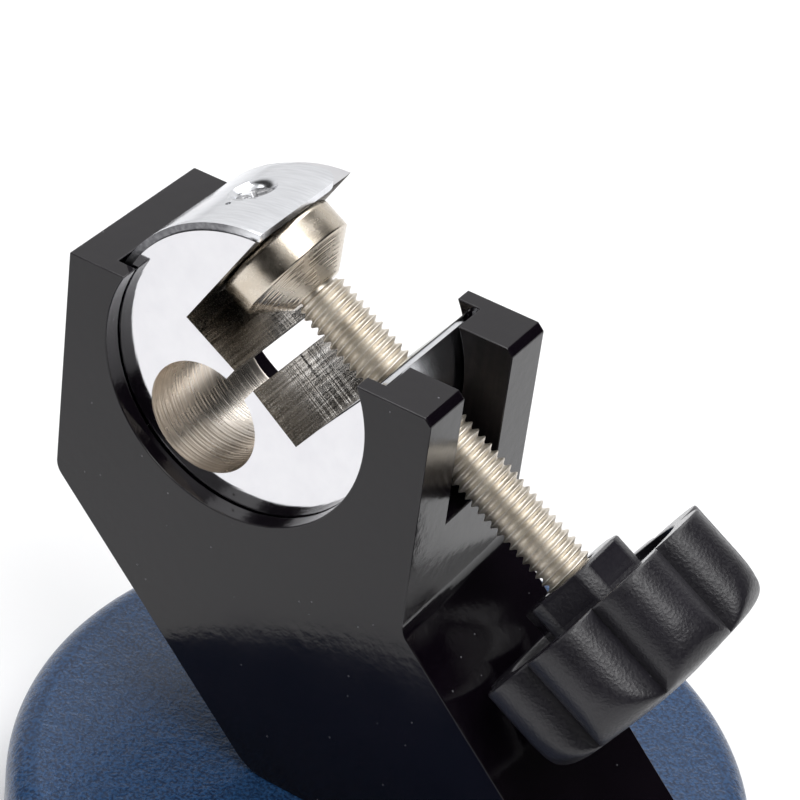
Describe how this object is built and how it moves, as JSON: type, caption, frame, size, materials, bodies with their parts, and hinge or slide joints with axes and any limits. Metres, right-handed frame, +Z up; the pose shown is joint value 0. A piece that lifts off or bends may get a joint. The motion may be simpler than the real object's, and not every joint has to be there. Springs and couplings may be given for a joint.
{
  "type": "swivel clamp stand",
  "caption": "Bench stand with a round base, a slanted forked column and a split swivel drum whose notch is clamped by a pad on a long screw with a lobed knob.",
  "frame": {"origin": "centre of the base at the undersides of the rubber feet", "axes": "+Z up from the bench, +X towards the knob, drum axis along Y"},
  "size_m": [0.0844, 0.0844, 0.081],
  "materials": {
    "base_paint": "fine hammered blue enamel on cast iron",
    "head_paint": "semi-gloss black enamel on cast iron",
    "drum_steel": "turned and polished steel",
    "shoe_steel": "brushed sheet steel",
    "nickel_plate": "satin nickel plate on turned steel",
    "zinc_steel": "zinc plated",
    "knob_plastic": "grained black moulding",
    "foot_rubber": "matte"
  },
  "bodies": {
    "stand": {"base": "base_paint", "foot_1": "foot_rubber", "foot_2": "foot_rubber", "foot_3": "foot_rubber", "foot_4": "foot_rubber", "head_column": "head_paint", "column_screw_1": "zinc_steel", "column_screw_2": "zinc_steel", "column_washer_1": "zinc_steel", "column_washer_2": "zinc_steel"},
    "swivel": {"clamp_drum": "drum_steel", "upper_shoe": "shoe_steel", "lower_shoe": "shoe_steel", "upper_shoe_screw": "zinc_steel", "lower_shoe_screw": "zinc_steel"},
    "pusher": {"pad": "nickel_plate", "pad_ring": "zinc_steel"},
    "spindle": {"clamp_screw": "nickel_plate", "knob": "knob_plastic", "knob_nut": "zinc_steel"}
  },
  "joints": [
    {"name": "drum_swivel", "type": "hinge", "parent": "stand", "child": "swivel", "pos_m": [-0.018, 0, 0.0633], "axis": [0, -1, 0], "range_deg": [-0.5, 60]},
    {"name": "pad_travel", "type": "slide", "parent": "swivel", "child": "pusher", "axis": [0.8625, 0, -0.506], "range_m": [0, 0.01]},
    {"name": "knob_turn", "type": "hinge", "parent": "pusher", "child": "spindle", "pos_m": [-0.01412, 0, 0.06991], "axis": [0.8625, 0, -0.506], "range_deg": [0, 3600]}
  ],
  "couplings": [
    {"joint": "knob_turn", "follows": "pad_travel", "rad_per_m": 6283.2}
  ]
}
